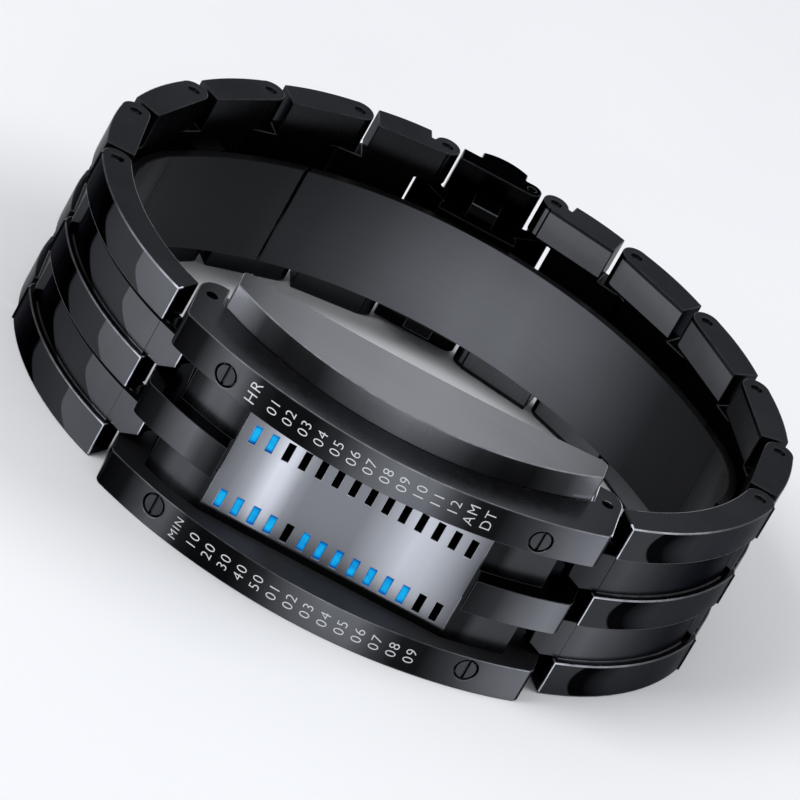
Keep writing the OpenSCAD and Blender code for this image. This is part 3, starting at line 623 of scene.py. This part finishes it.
dress(lit, "lit_guides")
dress(unlit, "dark_guides")
dress(black_plastic, "light_baffle", "battery_tray")
dress(lamp_body, "led_chips")
dress(green_board, "circuit_board")
dress(chip_plastic, "control_chip", "key_switches")
dress(bright_steel, "timing_crystal", "key_clips")
dress(gilt, "battery_contact")
dress(rubber, "back_gasket", "key_seals")

# ---------------------------------------------------------------- bracelet and clasp
PANELS = {3: (114, 35), 4: (132, 83), 5: (150, 105), 6: (168, 105)}     # heading and painted grey
for side, finish, rim in (("left", left_steel, left_rim), ("right", right_steel, right_rim)):
    eased(f"{side}_link_1", "polished", 0.14, finish, rim)
    for i in range(2, 7):
        finish = steel
        if side == "right" and i in PANELS:
            finish = painted_panel_steel(f"painted_panel_steel_{i}", *PANELS[i])
        eased(f"{side}_link_{i}", "polished", 0.11, finish, far_edge)
for n in ("long_blade", "short_blade"):
    eased(n, "brushed", 0.08, blade_steel, blade_steel)
for n in ("clasp_block", "clasp_cover"):
    eased(n, "polished", 0.12, clasp_steel, clasp_edge)
for n in ("upper_button", "lower_button"):
    eased(n, "polished", 0.1, clasp_steel, edge)
dress(pin_steel, *PINS)
dress(shaded_pin, "case_pin", "spring_bars", "cover_pin")


# ---------------------------------------------------------------- coil springs
WIRE_POINTS, TURN_STEPS = 10, 20


def coil(node, body, centres, mean, wire, turns):
    """Wound springs in place of plain sleeves, with their mean radius and their wire's radius."""
    low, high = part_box(node)
    made = []
    for x, y in centres:
        deselect()
        bpy.ops.mesh.primitive_circle_add(
            vertices=WIRE_POINTS, radius=wire, location=(mean, 0, 0),
            rotation=(math.pi / 2, 0, 0))
        o = bpy.context.object
        bpy.ops.object.transform_apply(location=True, rotation=True, scale=True)
        screw = o.modifiers.new("wound", "SCREW")
        screw.axis, screw.angle = "Z", 2 * math.pi * turns
        screw.screw_offset = high.z - low.z - 2 * wire
        screw.steps = screw.render_steps = int(TURN_STEPS * turns)
        apply_modifiers(o)
        edit(o, lambda: bpy.ops.mesh.select_all(action="DESELECT"),
             lambda: bpy.ops.mesh.select_non_manifold(),
             lambda: bpy.ops.mesh.fill_holes(sides=0),
             lambda: bpy.ops.mesh.select_all(action="SELECT"),
             lambda: bpy.ops.mesh.normals_make_consistent(inside=False))
        o.data.transform(Matrix.Translation((x, y, low.z + wire)))
        made.append(o)
    o = joined(made, node + "_wound")
    o.data.materials.append(bright_steel)
    bpy.ops.object.shade_smooth_by_angle(angle=COIL_SMOOTH)
    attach(o, body)
    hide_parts(node)
    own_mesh(o)


low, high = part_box("key_springs")
reach, mid = (high.y - low.y) / 2, middle("key_springs")
coil("key_springs", "case", [(low.x + reach, mid.y), (high.x - reach, mid.y)],
     mean=reach - 0.2 * MM, wire=0.17 * MM, turns=3.0)
for node, joint, fixed in (("upper_spring", "upper_button_press", 0),
                           ("lower_spring", "lower_button_press", 1)):
    mid = middle(node)
    coil(node, "clasp", [(mid.x, mid.y)], mean=0.65 * MM, wire=0.13 * MM, turns=7.0)


# ---------------------------------------------------------------- printed figures
LETTER, SPACING, THINNER = 1.62 * MM, 1.2, -0.018 * MM
INK, PROUD = 0.012 * MM, 0.008 * MM             # half the ink's thickness, its middle's height


def figures(name, labels, z):
    """Printed labels on a rail's curved front: each a word, its place along x and its size.
    Each reads along the wrist axis."""
    made = []
    for word, x, grow in labels:
        deselect()
        bpy.ops.object.text_add()
        o = bpy.context.object
        o.data.body, o.data.size = word, LETTER * grow
        o.data.align_x, o.data.align_y = "CENTER", "CENTER"
        o.data.space_character = SPACING
        o.data.offset = THINNER
        o.data.extrude = INK
        o.data.resolution_u = 6
        bpy.ops.object.convert(target="MESH")
        o = bpy.context.object
        for v in o.data.vertices:
            along, up, out = v.co
            turn = (x - up) / RAIL_R
            r = RAIL_R + PROUD + out
            v.co = (r * math.sin(turn), FRONT_Y + RAIL_R - r * math.cos(turn), z + along)
        made.append(o)
    o = joined(made, name)
    o.data.materials.clear()
    o.data.materials.append(white)
    edit(o, lambda: bpy.ops.mesh.remove_doubles(threshold=INK_MERGE),
         lambda: bpy.ops.mesh.normals_make_consistent(inside=False))
    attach(o, "case")


def slot_x(k):
    return (k - (SLOTS - 1) / 2) * SLOT_PITCH


hours = [f"{k:02d}" for k in range(1, 13)] + ["AM", "DT"]
minutes = ["10", "20", "30", "40", "50"] + [f"{k:02d}" for k in range(1, 10)]
figures("hour_figures", [("HR", slot_x(-1.35), 1.12)]
        + [(w, slot_x(k), 1.0) for k, w in enumerate(hours)], HOUR_PRINT_Z)
figures("minute_figures", [("MIN", slot_x(-1.45), 0.8)]
        + [(w, slot_x(k * 1.022 - 0.3), 1.0) for k, w in enumerate(minutes)], MINUTE_PRINT_Z)


# ---------------------------------------------------------------- floor, light and camera
deselect()
bpy.ops.mesh.primitive_plane_add(size=6, location=(0, 0, -0.03 * MM))
floor = bpy.context.object
floor.name = "floor"
pale = Finish("pale_floor")
floor.data.materials.append(pale.set(
    Base_Color=pale.mix(pale.noise(14, 2.0), (0.74, 0.75, 0.77), (0.80, 0.81, 0.83)),
    Roughness=0.8))

# The world is pale where it is seen, directly or in metal, and lights the watch more softly.
world = bpy.data.worlds.new("studio")
bpy.context.scene.world = world
world.use_nodes = True
tree = world.node_tree
path = tree.nodes.new("ShaderNodeLightPath")
seen = path.outputs["Is Camera Ray"]
for kind in ("Is Glossy Ray", "Is Transmission Ray"):
    either = tree.nodes.new("ShaderNodeMath")
    either.operation = "MAXIMUM"
    tree.links.new(seen, either.inputs[0])
    tree.links.new(path.outputs[kind], either.inputs[1])
    seen = either.outputs[0]
shade = tree.nodes.new("ShaderNodeMix")
shade.data_type = "RGBA"
shade.inputs[6].default_value = (0.50, 0.51, 0.53, 1)
shade.inputs[7].default_value = (0.90, 0.91, 0.93, 1)
tree.links.new(seen, shade.inputs[0])
tree.links.new(shade.outputs[2], tree.nodes["Background"].inputs[0])


def lamp_panel(name, place, size, power):
    """Soft rectangular lamp that looks at the middle of the watch."""
    data = bpy.data.lights.new(name, "AREA")
    data.shape, data.size, data.size_y, data.energy = "RECTANGLE", size[0], size[1], power
    o = bpy.data.objects.new(name, data)
    bpy.context.scene.collection.objects.link(o)
    o.location = place
    o.rotation_mode = "QUATERNION"
    aim = Vector((0, 0, 10 * MM)) - Vector(place)
    o.rotation_quaternion = aim.to_track_quat("-Z", "Y")


lamp_panel("key_panel", (-0.35, -0.25, 0.50), (0.30, 0.30), 2.6)
lamp_panel("side_panel", (0.52, 0.12, 0.46), (0.40, 0.22), 2.0)

# The camera's turn about the watch, its height and its roll, its distance in metres, its focal
# length and picture width in pixels and its sensor in mm, and the pixel where TARGET shows.
AZIMUTH, RISE, ROLL = math.radians(-3.7), math.radians(30.0), math.radians(29.70)
DISTANCE, FOCUS, FRAME_PX, SENSOR = 0.920, 9338.0, 800, 36.0
TARGET, TARGET_PX = Vector((0, FRONT_Y, MID_Z)), (339.6, 540.4)
back = Vector((math.sin(AZIMUTH) * math.cos(RISE), -math.cos(AZIMUTH) * math.cos(RISE),
               math.sin(RISE)))
level = Vector((math.cos(AZIMUTH), math.sin(AZIMUTH), 0))
rise = back.cross(level)
right = math.cos(ROLL) * level + math.sin(ROLL) * rise
up = -math.sin(ROLL) * level + math.cos(ROLL) * rise
ahead = (-back + right * ((FRAME_PX / 2 - TARGET_PX[0]) / FOCUS)
         - up * ((FRAME_PX / 2 - TARGET_PX[1]) / FOCUS)).normalized()
side = (right - ahead * right.dot(ahead)).normalized()
camera = bpy.data.objects.new("camera", bpy.data.cameras.new("camera"))
bpy.context.scene.collection.objects.link(camera)
camera.data.sensor_width = SENSOR
camera.data.lens = FOCUS * SENSOR / FRAME_PX
camera.data.clip_start, camera.data.clip_end = 0.01, 20
camera.matrix_world = Matrix.Translation(TARGET + back * DISTANCE) @ Matrix(
    (side, (-ahead).cross(side), -ahead)).transposed().to_4x4()
bpy.context.scene.camera = camera
bpy.context.scene.view_settings.view_transform = "Standard"
